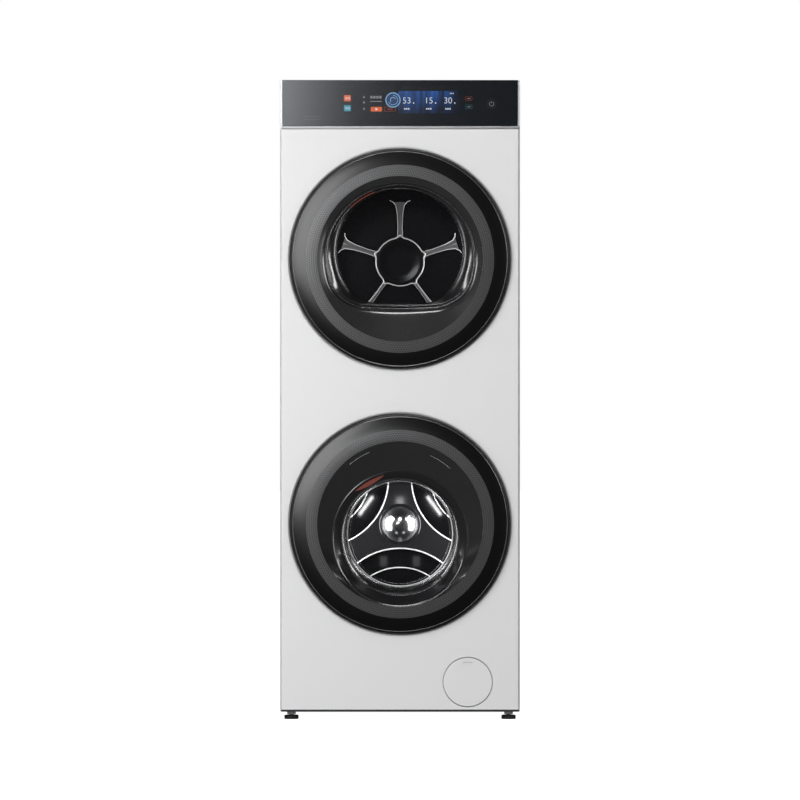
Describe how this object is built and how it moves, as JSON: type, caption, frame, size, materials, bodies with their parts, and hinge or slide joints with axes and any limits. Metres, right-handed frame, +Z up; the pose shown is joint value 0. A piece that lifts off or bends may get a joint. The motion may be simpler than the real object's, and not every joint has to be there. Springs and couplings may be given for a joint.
{
  "type": "washer dryer stack",
  "caption": "Full-height laundry tower: round-door condenser dryer above a front-loading washer, one white cabinet with a dark glass control console on top.",
  "frame": {"origin": "on the floor at the centre of the footprint", "axes": "+X to the machine's right seen from the front, +Y to the back, +Z up; the doors face -Y"},
  "size_m": [0.6, 0.66, 1.6],
  "materials": {
    "white_enamel": "satin white enamel",
    "grey_enamel": "satin light grey enamel",
    "zinc_steel": "zinc coated, dull",
    "dark_plastic": "fine moulded texture",
    "black_gloss": "piano black",
    "grey_plastic": "moulded",
    "console_glass": "back printed black glass",
    "smoked_glass": "smoked, polished",
    "door_glass": "back printed black glass",
    "satin_metal": "satin anodised",
    "chrome": "polished",
    "stainless": "stainless, satin",
    "rubber_grey": "smooth grey rubber",
    "rubber_black": "black rubber",
    "felt": "pressed felt",
    "concrete": "cast, rough",
    "cast_aluminium": "cast, bead blasted",
    "bearing_steel": "ground",
    "motor_steel": "lacquered laminations",
    "red_accent": "glossy orange red",
    "board": "circuit board",
    "white_plastic": "smooth white",
    "pump_paint": "black lacquer"
  },
  "bodies": {
    "cabinet": {"side_panel_left": "grey_enamel", "side_panel_right": "grey_enamel", "rear_panel": "zinc_steel", "top_cover": "white_enamel", "front_panel": "white_enamel", "base_frame": "zinc_steel", "middle_shelf": "zinc_steel", "control_housing": "grey_plastic", "control_glass": "console_glass", "control_trim": "satin_metal", "control_electronics": "board", "washer_dish": "white_enamel", "dryer_dish": "white_enamel", "door_hinge_brackets": "zinc_steel", "door_hinge_pins": "bearing_steel", "door_locks": "dark_plastic", "washer_tub": "grey_plastic", "door_gasket": "rubber_grey", "counterweight": "concrete", "tub_suspension": "zinc_steel", "tub_bearings": "bearing_steel", "motor_stator": "motor_steel", "filter_housing": "grey_plastic", "drain_pump": "dark_plastic", "dryer_bulkhead": "dark_plastic", "dryer_front_seal": "felt", "dryer_belt": "rubber_black", "dryer_motor": "motor_steel", "heat_pump": "pump_paint", "water_inlet_valve": "white_plastic", "service_ports": "dark_plastic", "foot_lock_nuts": "zinc_steel"},
    "lower_door": {"lower_door_bowl": "smoked_glass", "lower_door_grip": "red_accent", "lower_door_rim": "black_gloss", "lower_door_glass": "door_glass", "lower_door_bezel": "black_gloss", "lower_door_frame": "dark_plastic", "lower_door_fittings": "zinc_steel"},
    "upper_door": {"upper_door_window": "smoked_glass", "upper_door_rim": "black_gloss", "upper_door_glass": "door_glass", "upper_door_bezel": "black_gloss", "upper_door_frame": "dark_plastic", "upper_door_fittings": "zinc_steel"},
    "washer_drum": {"washer_drum": "stainless", "washer_drum_star": "stainless", "drum_lifters": "stainless", "drum_shaft": "cast_aluminium", "motor_rotor": "motor_steel"},
    "dryer_drum": {"dryer_drum": "stainless", "dryer_drum_star": "chrome"},
    "dryer_motor_shaft": {"dryer_motor_shaft": "bearing_steel"},
    "filter_cover": {"filter_cover": "white_plastic"},
    "filter_knob": {"filter_knob": "dark_plastic"},
    "lint_filter": {"lint_filter": "grey_plastic"},
    "foot_front_left": {"foot_front_left": "rubber_black"},
    "foot_front_right": {"foot_front_right": "rubber_black"},
    "foot_back_left": {"foot_back_left": "rubber_black"},
    "foot_back_right": {"foot_back_right": "rubber_black"}
  },
  "joints": [
    {"name": "upper_door_hinge", "type": "hinge", "parent": "cabinet", "child": "upper_door", "pos_m": [0.25, -0.313, 1.1525], "axis": [0, 0, 1], "range_deg": [0, 100]},
    {"name": "lower_door_hinge", "type": "hinge", "parent": "cabinet", "child": "lower_door", "pos_m": [0.25, -0.313, 0.49], "axis": [0, 0, 1], "range_deg": [0, 100]},
    {"name": "washer_drum_spin", "type": "hinge", "parent": "cabinet", "child": "washer_drum", "pos_m": [0, 0, 0.477], "axis": [0, 1, 0], "continuous": true},
    {"name": "dryer_drum_spin", "type": "hinge", "parent": "cabinet", "child": "dryer_drum", "pos_m": [0, 0, 1.16], "axis": [0, 1, 0], "continuous": true},
    {"name": "dryer_motor_spin", "type": "hinge", "parent": "cabinet", "child": "dryer_motor_shaft", "pos_m": [0.222, 0, 0.882], "axis": [0, 1, 0], "continuous": true},
    {"name": "filter_cover_hinge", "type": "hinge", "parent": "cabinet", "child": "filter_cover", "pos_m": [0.1695, -0.308, 0.046], "axis": [1, 0, 0], "range_deg": [0, 70]},
    {"name": "filter_knob_turn", "type": "hinge", "parent": "cabinet", "child": "filter_knob", "pos_m": [0.1695, -0.25, 0.095], "axis": [0, -1, 0], "range_deg": [0, 90]},
    {"name": "lint_filter_slide", "type": "slide", "parent": "cabinet", "child": "lint_filter", "axis": [0, 0, 1], "range_m": [0, 0.1]},
    {"name": "foot_front_left_screw", "type": "slide", "parent": "cabinet", "child": "foot_front_left", "axis": [0, 0, -1], "range_m": [0, 0.012]},
    {"name": "foot_front_right_screw", "type": "slide", "parent": "cabinet", "child": "foot_front_right", "axis": [0, 0, -1], "range_m": [0, 0.012]},
    {"name": "foot_back_left_screw", "type": "slide", "parent": "cabinet", "child": "foot_back_left", "axis": [0, 0, -1], "range_m": [0, 0.012]},
    {"name": "foot_back_right_screw", "type": "slide", "parent": "cabinet", "child": "foot_back_right", "axis": [0, 0, -1], "range_m": [0, 0.012]}
  ],
  "couplings": [
    {"joint": "dryer_motor_spin", "follows": "dryer_drum_spin", "ratio": 18.326}
  ]
}
